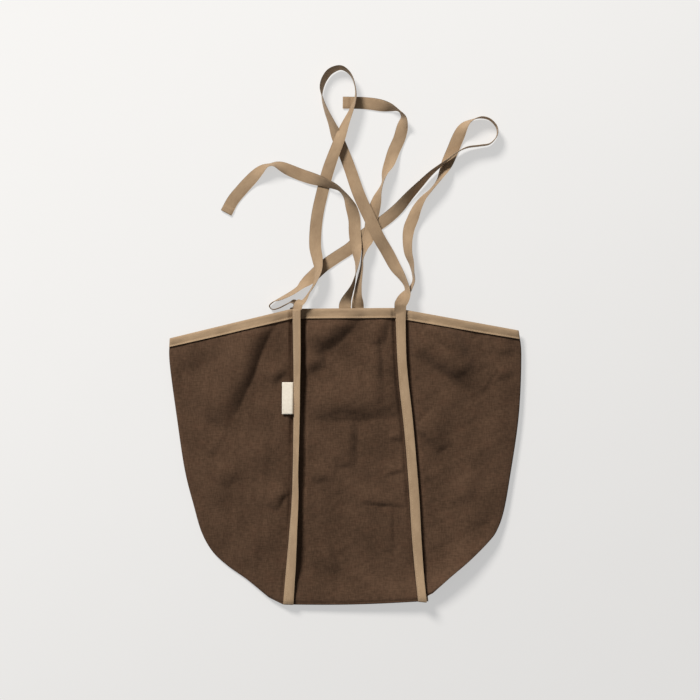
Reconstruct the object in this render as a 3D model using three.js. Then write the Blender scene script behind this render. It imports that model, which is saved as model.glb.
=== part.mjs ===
// A linen shoulder bag lying flat on its back, mouth towards +Y, in millimetres with +Z up.
// Each face has a centre panel and two side panels. The seams between them stand outside and are
// bound in folded tape, the mouth edges are bound in the same tape, and two handles and two ties
// of tape leave the mouth. The origin is on the floor under the middle of the back centre panel.
import * as THREE from 'three';

// Driving dimensions
const BAG_WIDTH = 466;
const BAG_HEIGHT = 392;
const CLOTH = 0.8;
const TAPE = 0.6;
const CLEARANCE = 0.3;
const MOUTH_GAP = 10;
const SIDE_LIFT = 1.2;
const BACK_DROP = 2;
const SEAM_WIDTH = 14;
const SEAM_STEP = 2.5;
const SEAM_SHOULDER = 2;
const MOUTH_BINDING_DEPTH = 12.6;
const BACK_DIP_RUN = 22;
const STRAP_WIDTH = 16;
const STRAP_THICKNESS = 1.2;
const LABEL_WIDTH = 14.5;
const LABEL_LENGTH = 42;
const LABEL_THICKNESS = 0.8;
const LABEL_BELOW_MOUTH = 118;

// Sizes that follow from them: a folded tape holds one layer of cloth with air on both sides,
// and a bound seam lies clear of the mouth binding that it crosses.
const SLOT = CLOTH + 2 * CLEARANCE;
const FOLDED_TAPE = SLOT + 2 * TAPE;
const BINDING_LEG = TAPE + CLEARANCE;
const SEAM_SEAT = BINDING_LEG + CLEARANCE;
const SEAM_STACK = SEAM_SEAT + FOLDED_TAPE;
const ALLOWANCE_LIFT = CLOTH + SEAM_SEAT + TAPE + CLEARANCE;
const CLOTH_END = 1 - (BINDING_LEG + CLEARANCE) / BAG_HEIGHT;
const BACK_END = 1 - BACK_DROP / BAG_HEIGHT;

const LINEN = 0x4a382b;
const TAN_TAPE = 0x9a8262;
const CREAM = 0xe9e2d2;

// Outlines from the bottom to the mouth, as shares of the half width and the half height.
const LEFT_EDGE = [
  [-0.43, -0.95], [-0.645, -0.76], [-0.777, -0.607], [-0.862, -0.345],
  [-0.931, 0.05], [-0.98, 0.435], [-1, 0.796],
];
const LEFT_SEAM = [
  [-0.288, -1], [-0.279, -0.765], [-0.267, -0.535], [-0.26, -0.255],
  [-0.255, 0.128], [-0.253, 0.56], [-0.253, 0.995],
];
const RIGHT_SEAM = [
  [0.47, -0.975], [0.455, -0.745], [0.438, -0.525], [0.423, -0.23],
  [0.397, 0.163], [0.365, 0.551], [0.343, 1],
];
const RIGHT_EDGE = [
  [0.51, -0.955], [0.678, -0.74], [0.833, -0.561], [0.908, -0.352],
  [0.964, 0], [0.996, 0.435], [1, 0.83],
];

// Where each strap lies: x, y, height of its centreline and how far it is rolled on edge, in degrees.
const FRONT_HANDLE_ROUTE = [
  [-65, 195.5, 20.4, 0], [-64.6, 199.5, 20.3, 4], [-62, 205, 19.5, 24], [-56.5, 209.5, 18.1, 60],
  [-48.5, 215, 16.2, 82], [-42, 225, 15.6, 80], [-37.5, 236, 14.4, 68], [-35, 248, 12, 50],
  [-36.5, 262, 8.6, 26], [-39.5, 278, 4.2, 10], [-39, 300.6, 1.6, 0], [-36, 324.5, 1.4, 0],
  [-30, 351.1, 1.4, 0], [-23, 377.7, 3.4, 6], [-15, 400.3, 8.6, 20], [-7, 420.3, 11.8, 26],
  [1, 441.6, 12.4, 50], [9, 460.2, 10.8, 68], [14, 476.1, 10.6, 82], [13, 492.1, 9.6, 90], [7, 506.7, 9, 86],
  [-5, 515, 8.8, 77], [-18.5, 510.8, 8.2, 66], [-27, 500.6, 8.2, 65], [-31, 488.1, 8.6, 73],
  [-30, 474.8, 9, 94], [-25, 458.9, 8.6, 108], [-17, 440.2, 7, 126], [-9, 420.3, 3.6, 160],
  [-1, 401.7, 3.6, 160], [7, 380.4, 4.2, 164], [16, 353.8, 7.6, 178], [23, 336.5, 8.6, 180],
  [33, 315.2, 8.6, 180], [44, 291.3, 9.4, 180], [56, 271.3, 4.6, 178], [66, 252.7, 4.2, 158],
  [75, 239.4, 8.6, 128], [81, 227.4, 12, 112], [82, 216.8, 15.2, 120], [78, 208.6, 18, 150],
  [74, 203, 19.8, 174], [73, 199.5, 20.3, 179], [73, 196.5, 20.4, 180],
];
const BACK_HANDLE_ROUTE = [
  [73, 194.6, 1.3, 0], [73.2, 199, 1.5, 2], [75.2, 206, 3.3, 18], [79.8, 213.5, 6.2, 44],
  [86.5, 222.5, 8.6, 71], [91, 232.8, 9, 80], [90, 244.7, 9, 80], [88, 256.7, 8.2, 66], [84, 270, 7, 50],
  [83, 285.9, 5.6, 38], [85, 301.9, 3.9, 22], [90, 315.2, 3.9, 22], [96, 329.8, 6, 42],
  [104, 342.5, 7.8, 62], [114, 353.1, 8.6, 76], [124, 365.8, 8.4, 72], [132, 380.4, 5.8, 40],
  [138, 394.3, 1.8, 6], [144, 408.3, 1, 0], [150, 422.9, 2, 8], [157, 436.2, 5.8, 38],
  [167, 444.9, 8.8, 76], [180, 449.1, 9, 90], [192, 446.2, 9, 90], [201, 436.2, 9, 90],
  [201, 424.3, 9, 90], [192, 414.3, 9.2, 90], [178, 411.6, 9.8, 90], [162, 409.2, 11, 90],
  [149, 403, 11.8, 92], [137, 393.7, 11.8, 87], [125, 384.4, 10.6, 79], [113, 374.4, 9.2, 69],
  [100, 361.1, 8, 57], [86, 346.5, 6.6, 43], [72, 330.5, 4.2, 24], [59, 318.5, 1.8, 7],
  [44, 307.2, 0.9, 0], [25, 293.3, 0.9, 0], [7, 276.6, 0.9, 0], [-12, 264, 0.9, 0],
  [-29, 252, 1.3, -3], [-44, 238.1, 2.4, -10], [-52.5, 230.5, 5.2, -34], [-60, 223.8, 8, -60],
  [-70, 216.8, 8.4, -66], [-84, 209.5, 9, -74], [-94.5, 205, 9, -88], [-100, 199.5, 9, -90],
  [-96, 194.8, 9, -90], [-88, 196.4, 9, -90], [-80, 200.3, 9, -90], [-73, 203.8, 8.8, -94],
  [-68.2, 203.4, 7.4, -112], [-66.2, 200, 4.6, -142], [-66, 197, 2.3, -168], [-66, 194.2, 1.3, -180],
];
const FRONT_TIE_ROUTE = [
  [0, 196, 15.3, 0], [0.1, 200, 15.1, -3], [2.4, 207.5, 13.6, -34], [6.2, 216, 11.4, -56],
  [10.6, 226.5, 9.8, -73], [13.5, 238.1, 9.4, -86], [15.2, 248, 9.2, -98], [16.3, 258, 8.8, -114],
  [16, 268.7, 7.6, -136], [14.5, 282, 4.8, -162], [13, 297.9, 2.6, -176], [12.5, 313.9, 1.4, -180],
  [9, 328.5, 3.6, -160], [3, 342, 7.8, -120], [-5, 352, 9.8, -104], [-14, 357.8, 11, -116],
  [-24, 361.8, 9.8, -128], [-35, 365.8, 8, -146], [-47, 369.7, 4.6, -166], [-60, 374.4, 1.8, -178],
  [-73, 379.7, 2.2, -190], [-86, 385, 5.2, -216], [-99, 386.6, 8.4, -252], [-111, 380.4, 6, -220],
  [-124, 368.4, 2.2, -189], [-137, 354.4, 0.9, -180], [-149, 339.8, 0.9, -180], [-158, 323.2, 0.9, -180],
];
const BACK_TIE_ROUTE = [
  [17, 194.3, 1.4, 0], [17, 198.5, 1.6, 3], [17, 205.5, 3.8, 22], [17, 214.1, 6.4, 46],
  [18, 226.1, 7.8, 58], [20, 238.1, 8.4, 68], [22, 250, 8.8, 76], [23, 262, 9, 80], [26, 274, 8.6, 62],
  [29.5, 285.9, 5.6, 20], [33, 297.9, 3.2, 6], [35, 311.2, 2.4, 2], [38, 324.5, 2.6, 10],
  [42, 339.2, 5.4, 36], [46, 351.8, 8.2, 68], [50, 363.1, 8.8, 82], [53, 375.1, 7.8, 60],
  [59, 389, 4.4, 28], [65, 405.7, 1.8, 8], [72, 421.6, 1, 2], [76, 436.2, 3.2, 18],
  [78, 448.2, 7.6, 62], [72, 457.5, 8.9, 90], [62, 462.4, 7.8, 62], [49, 465.5, 4.6, 26],
  [35, 468.2, 1.7, 5], [20, 469.5, 0.9, 0], [-3, 469.8, 0.9, 0],
];
const STEPS_PER_POINT = 2;

// Rows of the cloth panels from the bottom edge to the mouth, and how far the back centre panel
// sinks to the floor in each: it is level with the seams at the bottom and near the mouth.
const ROWS = [0, 0.04, 0.12, 0.24, 0.36, 0.5, 0.64, 0.78, 0.88, 0.945, 1];
const DIPS = [0, 0, 1, 1, 1, 1, 1, 1, 1, 0.7, 0.7];

const bag = new THREE.Group();

function addPiece(name, geometry, color, roughness) {
  const material = new THREE.MeshStandardMaterial({ color, roughness, metalness: 0 });
  const mesh = new THREE.Mesh(geometry, material);
  mesh.name = name;
  bag.add(mesh);
}

// A closed solid through a row of like polygons. Each polygon runs along one face of the sheet and
// back along the other, so the quads of the second half are split the other way to fold alike, and
// the ends are closed by a strip between the two faces.
function loft(sections) {
  const corners = sections[0].length;
  const half = corners / 2;
  const index = [];
  for (let i = 0; i + 1 < sections.length; i += 1) {
    for (let j = 0; j < corners; j += 1) {
      const near = i * corners;
      const far = near + corners;
      const next = (j + 1) % corners;
      if (j < half) {
        index.push(near + j, near + next, far + next, near + j, far + next, far + j);
      } else {
        index.push(near + j, near + next, far + j, near + next, far + next, far + j);
      }
    }
  }
  const last = (sections.length - 1) * corners;
  for (let j = 0; j + 1 < half; j += 1) {
    const across = corners - 1 - j;
    index.push(j, across, j + 1, j + 1, across, across - 1);
    index.push(last + j, last + j + 1, last + across, last + j + 1, last + across - 1, last + across);
  }
  const points = sections.flat();
  if (signedVolume(points, index) < 0) {
    index.reverse();
  }
  const geometry = new THREE.BufferGeometry().setFromPoints(points);
  geometry.setIndex(index);
  geometry.computeVertexNormals();
  return geometry;
}

function signedVolume(points, index) {
  let volume = 0;
  const normal = new THREE.Vector3();
  for (let i = 0; i < index.length; i += 3) {
    normal.crossVectors(points[index[i + 1]], points[index[i + 2]]);
    volume += points[index[i]].dot(normal) / 6;
  }
  return volume;
}

function boundary(shares) {
  const points = shares.map(([x, y]) => new THREE.Vector2(x * BAG_WIDTH / 2, y * BAG_HEIGHT / 2));
  return new THREE.SplineCurve(points);
}

const leftEdge = boundary(LEFT_EDGE);
const leftSeam = boundary(LEFT_SEAM);
const rightSeam = boundary(RIGHT_SEAM);
const rightEdge = boundary(RIGHT_EDGE);

// A straight line across the bag at height v, from one boundary to the next. An allowance, which
// lies before the first boundary, runs square to the bag.
function rowAcross(from, to, v) {
  const start = from.getPoint(v);
  const end = to.getPoint(v);
  const width = start.distanceTo(end);
  const along = end.clone().sub(start).normalize();
  const square = new THREE.Vector2(1, 0);
  const at = (offset) => start.clone().addScaledVector(offset < 0 ? square : along, offset);
  return { width, at };
}

const seamGap = (v) => CLEARANCE + MOUTH_GAP * v;
const edgeGap = (v) => CLEARANCE + 2 * BINDING_LEG * v;
const frontSeamHeight = (v) => SEAM_STACK + CLOTH + seamGap(v);
const frontEdgeHeight = (v) => SIDE_LIFT + CLOTH + edgeGap(v);
const seamFlat = SEAM_WIDTH + SEAM_SHOULDER;

// Columns of one panel row: how far each lies from the panel's left boundary and how high the
// cloth's underside is there. The panel on the right of a seam carries the allowance that turns
// into the tape. outward is +1 on the front, where seams stand up, and -1 on the back.
function allowanceColumns(height, outward) {
  const lift = height + outward * ALLOWANCE_LIFT;
  return [
    [-SEAM_WIDTH + TAPE + CLEARANCE, lift],
    [0, lift],
    [SEAM_STEP, height],
  ];
}

function leftSideColumns(width, edgeHeight, seamHeight) {
  const shoulder = width - seamFlat;
  return [
    [0, edgeHeight],
    [shoulder / 2, (edgeHeight + seamHeight) / 2],
    [shoulder, seamHeight],
    [width - CLEARANCE, seamHeight],
  ];
}

function rightSideColumns(width, edgeHeight, seamHeight, outward) {
  const slope = width - SEAM_STEP;
  return [
    ...allowanceColumns(seamHeight, outward),
    [SEAM_STEP + slope / 2, (edgeHeight + seamHeight) / 2],
    [width, edgeHeight],
  ];
}

function centerColumns(width, seamHeight, dip, outward) {
  const sunk = seamHeight * (1 - dip);
  const shoulder = width - seamFlat;
  return [
    ...allowanceColumns(seamHeight, outward),
    [SEAM_STEP + BACK_DIP_RUN, sunk],
    [shoulder - BACK_DIP_RUN, sunk],
    [shoulder, seamHeight],
    [width - CLEARANCE, seamHeight],
  ];
}

function rowsUpTo(end) {
  return ROWS.map((v) => v * end);
}

function clothPanel(from, to, end, columnsAt) {
  const sections = rowsUpTo(end).map((v, i) => {
    const row = rowAcross(from, to, v);
    const columns = columnsAt(row.width, v, DIPS[i]);
    const place = ([offset, height]) => {
      const point = row.at(offset);
      return new THREE.Vector3(point.x, point.y, height);
    };
    const under = columns.map(place);
    const over = columns.map(([offset, height]) => place([offset, height + CLOTH])).reverse();
    return [...under, ...over];
  });
  return loft(sections);
}

// Tape folded over the cloth's mouth edge: it runs across the panel, set in from both of its sides,
// and its legs follow the cloth's own slopes.
function mouthBinding(from, to, top, startInset, endInset, columnsAt, dip) {
  const depthRows = [
    top - MOUTH_BINDING_DEPTH / BAG_HEIGHT,
    top - BINDING_LEG / BAG_HEIGHT,
    top,
  ];
  const rows = depthRows.map((v) => {
    const row = rowAcross(from, to, v);
    return { ...row, columns: columnsAt(row.width, v, dip) };
  });
  const offsetsIn = (row) => {
    const last = row.width - endInset;
    const isInside = (offset) => offset > startInset + TAPE && offset < last - TAPE;
    const inner = row.columns.map(([offset]) => offset).filter(isInside);
    return [startInset, ...inner, last];
  };
  const offsets = rows.map(offsetsIn);
  const stations = Array.from(offsets[0].keys(), (i) => {
    const place = (row, offset, lift) => {
      const point = row.at(offset);
      return new THREE.Vector3(point.x, point.y, heightIn(row.columns, offset) + lift);
    };
    const [leg, fold, edge] = rows.map((row, k) => (lift) => place(row, offsets[k][i], lift));
    return [
      leg(-BINDING_LEG), edge(-BINDING_LEG), edge(CLOTH + BINDING_LEG), leg(CLOTH + BINDING_LEG),
      leg(CLOTH + CLEARANCE), fold(CLOTH + CLEARANCE), fold(-CLEARANCE), leg(-CLEARANCE),
    ];
  });
  return loft(stations);
}

function heightIn(columns, offset) {
  const next = Math.max(1, columns.findIndex(([place]) => place >= offset));
  const [x0, z0] = columns[next - 1];
  const [x1, z1] = columns[next];
  return z0 + (z1 - z0) * (offset - x0) / (x1 - x0);
}

// Tape folded round a seam's allowance and laid to the left of the seam.
function seamBinding(seam, end, heightAt, outward) {
  const inner = SEAM_WIDTH - TAPE;
  const outline = [
    [0, 0], [SEAM_WIDTH, 0], [SEAM_WIDTH, FOLDED_TAPE], [0, FOLDED_TAPE],
    [0, TAPE + SLOT], [inner, TAPE + SLOT], [inner, TAPE], [0, TAPE],
  ];
  const face = outward > 0 ? CLOTH : 0;
  const sections = rowsUpTo(end).map((v) => {
    const point = seam.getPoint(v);
    return outline.map(([across, rise]) => {
      const height = heightAt(v) + face + outward * (SEAM_SEAT + rise);
      return new THREE.Vector3(point.x - across, point.y, height);
    });
  });
  return loft(sections);
}

// A flat strap carried along its route, rolled on edge where it turns.
function strap(route) {
  const places = route.map(([x, y, z]) => new THREE.Vector3(x, y, z));
  const rolls = route.map(([, , , roll]) => new THREE.Vector3(THREE.MathUtils.degToRad(roll), 0, 0));
  const path = new THREE.CatmullRomCurve3(places, false, 'catmullrom', 0.5);
  const turning = new THREE.CatmullRomCurve3(rolls, false, 'catmullrom', 0.5);
  const steps = (route.length - 1) * STEPS_PER_POINT;
  const up = new THREE.Vector3(0, 0, 1);
  const outline = [
    [-STRAP_WIDTH / 2, -STRAP_THICKNESS / 2], [STRAP_WIDTH / 2, -STRAP_THICKNESS / 2],
    [STRAP_WIDTH / 2, STRAP_THICKNESS / 2], [-STRAP_WIDTH / 2, STRAP_THICKNESS / 2],
  ];
  const sections = [];
  for (let i = 0; i <= steps; i += 1) {
    const t = i / steps;
    const center = path.getPoint(t);
    const along = path.getTangent(t);
    const roll = turning.getPoint(t).x;
    const level = new THREE.Vector3().crossVectors(along, up).normalize();
    const raised = new THREE.Vector3().crossVectors(level, along).normalize();
    const wide = level.clone().multiplyScalar(Math.cos(roll)).addScaledVector(raised, Math.sin(roll));
    const thick = raised.clone().multiplyScalar(Math.cos(roll)).addScaledVector(level, -Math.sin(roll));
    sections.push(outline.map(([across, rise]) => (
      center.clone().addScaledVector(wide, across).addScaledVector(thick, rise)
    )));
  }
  return loft(sections);
}

// The two faces. The back is pinned to the floor and its seams lie underneath; the front lies over
// it, meets it along the sides and the bottom, and stands off it at the mouth.
const faces = [
  {
    name: 'front',
    outward: 1,
    top: 1,
    seamHeight: frontSeamHeight,
    edgeHeight: frontEdgeHeight,
    sinks: false,
  },
  {
    name: 'back',
    outward: -1,
    top: BACK_END,
    seamHeight: () => SEAM_STACK,
    edgeHeight: () => SIDE_LIFT,
    sinks: true,
  },
];
for (const { name, outward, top, seamHeight, edgeHeight, sinks } of faces) {
  const clothTop = top - 1 + CLOTH_END;
  const mouthDip = sinks ? DIPS[DIPS.length - 1] : 0;
  const pastSeam = SEAM_STEP + CLEARANCE;
  const leftColumns = (width, v) => leftSideColumns(width, edgeHeight(v), seamHeight(v));
  const rightColumns = (width, v) => rightSideColumns(width, edgeHeight(v), seamHeight(v), outward);
  const middleColumns = (width, v, dip) => centerColumns(width, seamHeight(v), sinks ? dip : 0, outward);
  const panels = [
    ['left_side', leftEdge, leftSeam, leftColumns, 0, CLEARANCE],
    ['center', leftSeam, rightSeam, middleColumns, pastSeam, CLEARANCE],
    ['right_side', rightSeam, rightEdge, rightColumns, pastSeam, 0],
  ];
  for (const [panel, from, to, columnsAt, startInset, endInset] of panels) {
    addPiece(`${name}_${panel}_panel`, clothPanel(from, to, clothTop, columnsAt), LINEN, 0.9);
    const binding = mouthBinding(from, to, top, startInset, endInset, columnsAt, mouthDip);
    addPiece(`${name}_${panel}_mouth_binding`, binding, TAN_TAPE, 0.85);
  }
  for (const [side, seam] of [['left', leftSeam], ['right', rightSeam]]) {
    const binding = seamBinding(seam, top, seamHeight, outward);
    addPiece(`${name}_${side}_seam_binding`, binding, TAN_TAPE, 0.85);
  }
}

// The label is caught in the front left seam and lies on the side panel, clear of the seam tape.
const labelShare = leftSeam.getUtoTmapping(1 - LABEL_BELOW_MOUTH / BAG_HEIGHT);
const labelRow = leftSeam.getPoint(labelShare);
const labelHeight = frontSeamHeight(labelShare) + CLOTH + CLEARANCE;
const labelGeometry = new THREE.BoxGeometry(LABEL_WIDTH, LABEL_LENGTH, LABEL_THICKNESS);
const labelX = labelRow.x - SEAM_WIDTH - CLEARANCE - LABEL_WIDTH / 2;
labelGeometry.rotateX(MOUTH_GAP / BAG_HEIGHT);
labelGeometry.translate(labelX, labelRow.y, labelHeight + LABEL_THICKNESS / 2);
addPiece('label', labelGeometry, CREAM, 0.8);

addPiece('front_handle', strap(FRONT_HANDLE_ROUTE), TAN_TAPE, 0.85);
addPiece('back_handle', strap(BACK_HANDLE_ROUTE), TAN_TAPE, 0.85);
addPiece('front_tie', strap(FRONT_TIE_ROUTE), TAN_TAPE, 0.85);
addPiece('back_tie', strap(BACK_TIE_ROUTE), TAN_TAPE, 0.85);

export default bag;
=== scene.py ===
import math

import bpy
import numpy as np
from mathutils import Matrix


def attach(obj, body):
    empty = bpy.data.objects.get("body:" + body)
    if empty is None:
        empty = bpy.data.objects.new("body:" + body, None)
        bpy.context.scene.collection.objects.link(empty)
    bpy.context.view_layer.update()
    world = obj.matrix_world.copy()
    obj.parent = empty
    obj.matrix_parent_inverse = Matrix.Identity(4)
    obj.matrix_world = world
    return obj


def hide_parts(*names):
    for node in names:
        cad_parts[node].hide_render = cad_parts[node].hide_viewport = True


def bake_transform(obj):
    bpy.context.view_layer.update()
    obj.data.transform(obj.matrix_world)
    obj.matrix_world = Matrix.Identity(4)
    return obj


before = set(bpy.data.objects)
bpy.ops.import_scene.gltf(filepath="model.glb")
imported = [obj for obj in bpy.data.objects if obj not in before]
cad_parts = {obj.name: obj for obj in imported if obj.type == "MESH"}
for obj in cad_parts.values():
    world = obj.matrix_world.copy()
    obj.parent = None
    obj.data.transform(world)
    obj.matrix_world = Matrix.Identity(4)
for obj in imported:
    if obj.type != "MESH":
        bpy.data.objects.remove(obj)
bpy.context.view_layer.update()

# The set: a matt off-white floor, one large soft lamp low over the far left, and pale light from all
# round.
# The floor also glows, as painted light that lifts the shadows on it and brightens towards the lamp.
# The camera looks straight down from a step ladder's height on the bag as it lies.
FLOOR_DARK = (0.29, 0.286, 0.282, 1)
FLOOR_LIGHT = (0.3, 0.296, 0.292, 1)
# Painted light: the floor's glow runs from the far colour to the near one across the span towards the
# lamp.
GLOW_FAR = (0.85, 0.846, 0.84, 1)
GLOW_NEAR = (1.03, 1.025, 1.015, 1)
GLOW_SPAN = (-0.55, 0.65)
FLOOR_REACH = 4
FLOOR_LEVEL = -0.0005
VIEW_WIDTH = 0.931
VIEW_CENTER = (0.00665, 0.141)
LENS = 85
SENSOR = 36
LAMP_TURN = math.radians(122)
LAMP_HEIGHT = math.radians(39)
LAMP_DISTANCE = 8
LAMP_SIZE = 2.4
LAMP_POWER = 840
LAMP_COLOR = (1, 0.97, 0.93)
SKY_COLOR = (0.96, 0.98, 1, 1)
SKY_STRENGTH = 0.22

camera = bpy.data.objects.new("camera", bpy.data.cameras.new("camera"))
camera.data.lens = LENS
camera.data.sensor_width = SENSOR
camera.location = (*VIEW_CENTER, VIEW_WIDTH * LENS / SENSOR)
bpy.context.collection.objects.link(camera)
bpy.context.scene.camera = camera
bpy.context.scene.view_settings.view_transform = "Standard"

lamp = bpy.data.objects.new("lamp", bpy.data.lights.new("lamp", "AREA"))
lamp.data.shape = "DISK"
lamp.data.size = LAMP_SIZE
lamp.data.energy = LAMP_POWER
lamp.data.color = LAMP_COLOR
lamp.location = (
    VIEW_CENTER[0] + LAMP_DISTANCE * math.cos(LAMP_HEIGHT) * math.cos(LAMP_TURN),
    LAMP_DISTANCE * math.cos(LAMP_HEIGHT) * math.sin(LAMP_TURN),
    LAMP_DISTANCE * math.sin(LAMP_HEIGHT),
)
lamp.rotation_euler = (math.pi / 2 - LAMP_HEIGHT, 0, LAMP_TURN + math.pi / 2)
bpy.context.collection.objects.link(lamp)

world = bpy.data.worlds.new("studio")
world.use_nodes = True
world.node_tree.nodes["Background"].inputs["Color"].default_value = SKY_COLOR
world.node_tree.nodes["Background"].inputs["Strength"].default_value = SKY_STRENGTH
bpy.context.scene.world = world


class Shade:
    """One output of a material's nodes. Arithmetic on shades adds Math nodes."""

    def __init__(self, tree, socket=None):
        self.tree = tree
        self.socket = socket

    def make(self, kind, settings=None, inputs=None, out=0):
        """A node of a kind with its settings, then the values or shades of its sockets."""
        node = self.tree.nodes.new("ShaderNode" + kind)
        for key, value in (settings or {}).items():
            setattr(node, key, value)
        for key, value in (inputs or {}).items():
            if isinstance(value, Shade):
                self.tree.links.new(value.socket, node.inputs[key])
            else:
                node.inputs[key].default_value = value
        return Shade(self.tree, node.outputs[out])

    def math(self, operation, *values):
        return self.make("Math", {"operation": operation}, dict(enumerate(values)))

    def __add__(self, other):
        return self.math("ADD", self, other)

    def __radd__(self, other):
        return self.math("ADD", other, self)

    def __mul__(self, other):
        return self.math("MULTIPLY", self, other)

    def __rmul__(self, other):
        return self.math("MULTIPLY", other, self)

    def sine(self):
        return self.math("SINE", self)

    def plan(self):
        """The first two parts of a place."""
        first = self.make("SeparateXYZ", None, {"Vector": self})
        return first, Shade(self.tree, first.socket.node.outputs["Y"])

    def between(self, low, high):
        """Rises from 0 to 1 as this shade goes from low to high."""
        return self.make(
            "MapRange", {"interpolation_type": "SMOOTHSTEP"}, {0: self, 1: low, 2: high}
        )

    def mix(self, first, second):
        """The first colour where this shade is 0, the second where it is 1."""
        return self.make(
            "Mix", {"data_type": "RGBA"}, {"Factor": self, 6: first, 7: second}, out=2
        )

    def noise(self, where, stretch, detail=3, roughness=0.55):
        """Soft noise with so many lumps to a metre in each direction."""
        scaled = self.make("Mapping", None, {"Vector": where, "Scale": stretch})
        return self.make(
            "TexNoise", None, {"Vector": scaled, "Scale": 1, "Detail": detail, "Roughness": roughness}
        )


def surface_material(name, sockets):
    """A new material, its Principled shader's plain sockets set, and a shade to start its nodes."""
    material = bpy.data.materials.new(name)
    material.use_nodes = True
    principled = material.node_tree.nodes["Principled BSDF"]
    for key, value in sockets.items():
        principled.inputs[key].default_value = value
    return material, Shade(material.node_tree), principled


def feed(principled, **shades):
    """Links shades to the Principled shader's sockets of those names."""
    for key, shade in shades.items():
        shade.tree.links.new(shade.socket, principled.inputs[key.replace("_", " ")])


# Painted light: the floor glows, which lifts its shadows, and glows more towards the lamp as a painted
# pool of light.
floor_material, shade, principled = surface_material(
    "floor", {"Roughness": 0.9, "Emission Strength": 0.54}
)
spot = shade.make("TexCoord", out="Object")
mottle = shade.noise(spot, (9, 9, 9))
spot_x, spot_y = spot.plan()
toward_lamp = spot_y * math.sin(LAMP_TURN) + spot_x * math.cos(LAMP_TURN)
feed(
    principled,
    Base_Color=mottle.mix(FLOOR_DARK, FLOOR_LIGHT),
    Emission_Color=toward_lamp.between(*GLOW_SPAN).mix(GLOW_FAR, GLOW_NEAR),
)
floor_corners = [
    (x * FLOOR_REACH, y * FLOOR_REACH, FLOOR_LEVEL) for x, y in ((-1, -1), (1, -1), (1, 1), (-1, 1))
]
floor_mesh = bpy.data.meshes.new("floor")
floor_mesh.from_pydata(floor_corners, [], [(0, 1, 2, 3)])
floor_mesh.materials.append(floor_material)
floor = bpy.data.objects.new("floor", floor_mesh)
bpy.context.collection.objects.link(floor)


# The back of the bag: three panels of washed dark brown linen, cut to the same patterns as the
# front. They lie on the floor on their bound seams, and the middle one sags down between them.
LEFT_EDGE = [
    (-0.1008, -0.1872), (-0.1295, -0.164), (-0.1548, -0.1462), (-0.1758, -0.1265), (-0.1902, -0.1011),
    (-0.2008, -0.0652), (-0.2128, -0.0173), (-0.2234, 0.0532), (-0.2328, 0.125), (-0.2325, 0.156),
]
LEFT_SEAM = [
    (-0.082, -0.196), (-0.0782, -0.1499), (-0.0742, -0.1049), (-0.0702, -0.05),
    (-0.0686, 0.0251), (-0.0682, 0.1098), (-0.0695, 0.195),
]
RIGHT_SEAM = [
    (0.0964, -0.1911), (0.092, -0.146), (0.0884, -0.1029), (0.0849, -0.0451),
    (0.0787, 0.0319), (0.0706, 0.108), (0.0662, 0.196),
]
RIGHT_EDGE = [
    (0.1155, -0.1797), (0.1388, -0.1582), (0.1653, -0.1359), (0.1909, -0.1111), (0.2014, -0.097),
    (0.2101, -0.0732), (0.218, -0.0306), (0.2301, 0.0532), (0.2336, 0.1335), (0.23, 0.1664),
]
BOUNDS = {
    "left_side": (LEFT_EDGE, LEFT_SEAM),
    "center": (LEFT_SEAM, RIGHT_SEAM),
    "right_side": (RIGHT_SEAM, RIGHT_EDGE),
}
BAG_HEIGHT = 0.392
CLOTH = 0.0008
SEAM_STACK = 0.0038
SIDE_LIFT = 0.0012
BACK_ARCH = 1.6
BACK_SHORTFALL = 0.002
BACK_TOP = 1 - BACK_SHORTFALL / BAG_HEIGHT
BOTTOM_BOW = 0.0022
BOTTOM_BOW_REACH = 0.04
BOTTOM_LIFT_LEFT = 0.0048
BOTTOM_LIFT_RIGHT = 0.0124
BOTTOM_LIFT_REACH = 0.1
LEFT_EDGE_LIFT = 0.0014
LEFT_CORNER_DROP = 0.3
RIGHT_EDGE_LIFT = 0.006
CORNER_LIFT = 0.0138
CORNER_AT = 0.12
CORNER_REACH = 0.26
TROUGH_LEDGE = 0.004
TROUGH_WALL = 0.014
TROUGH_FOOT = (0.03, 0.12)
TROUGH_HEAD = (0.88, 0.95)
TROUGH_HEAD_RISE = 0.3
LINEN_DARK = (0.0495, 0.0282, 0.0164, 1)
LINEN_LIGHT = (0.105, 0.0602, 0.0366, 1)
LINEN_RUST = (0.105, 0.0465, 0.027, 1)
THREADS = 2 * math.pi / 0.0009


def through(points, t):
    """The smooth curve through the points, at shares t of the way from the first to the last: each
    stretch is a cubic that leaves a point in the direction from the one before to the one after."""
    knots = np.asarray(points, float)
    knots = np.vstack([2 * knots[0] - knots[1], knots, 2 * knots[-1] - knots[-2]])
    place = np.clip(t, 0, 1) * (len(points) - 1)
    i = np.minimum(place.astype(int), len(points) - 2)
    f = (place - i)[..., None]
    a, b, c, d = knots[i], knots[i + 1], knots[i + 2], knots[i + 3]
    return 0.5 * (
        2 * b + (c - a) * f + (2 * a - 5 * b + 4 * c - d) * f**2 + (3 * b - a - 3 * c + d) * f**3
    )


def unit(vectors):
    """The vectors at length one."""
    return vectors / np.maximum(np.linalg.norm(vectors, axis=-1, keepdims=True), 1e-12)


def bell(distance, width):
    """1 at no distance, falling off smoothly over the width."""
    return np.exp(-((distance / width) ** 2))


def ramp(value, start, end):
    """0 up to the start, 1 from the end on, and a straight rise between."""
    return np.clip((value - start) / (end - start), 0, 1)


def across(panel, u, v):
    """Places on a panel's pattern: u of the way from its left boundary to its right one along a
    straight line, at v of the way from the bottom to the mouth. Also the line's length."""
    u, v = np.broadcast_arrays(u, v)
    left, right = (through(line, v) for line in BOUNDS[panel])
    width = np.linalg.norm(right - left, axis=-1)
    places = left + (right - left) * u[..., None]
    if panel == "center":
        places[..., 1] -= BOTTOM_BOW * np.sin(np.pi * u) * bell(v, BOTTOM_BOW_REACH)
    return places, width


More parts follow.
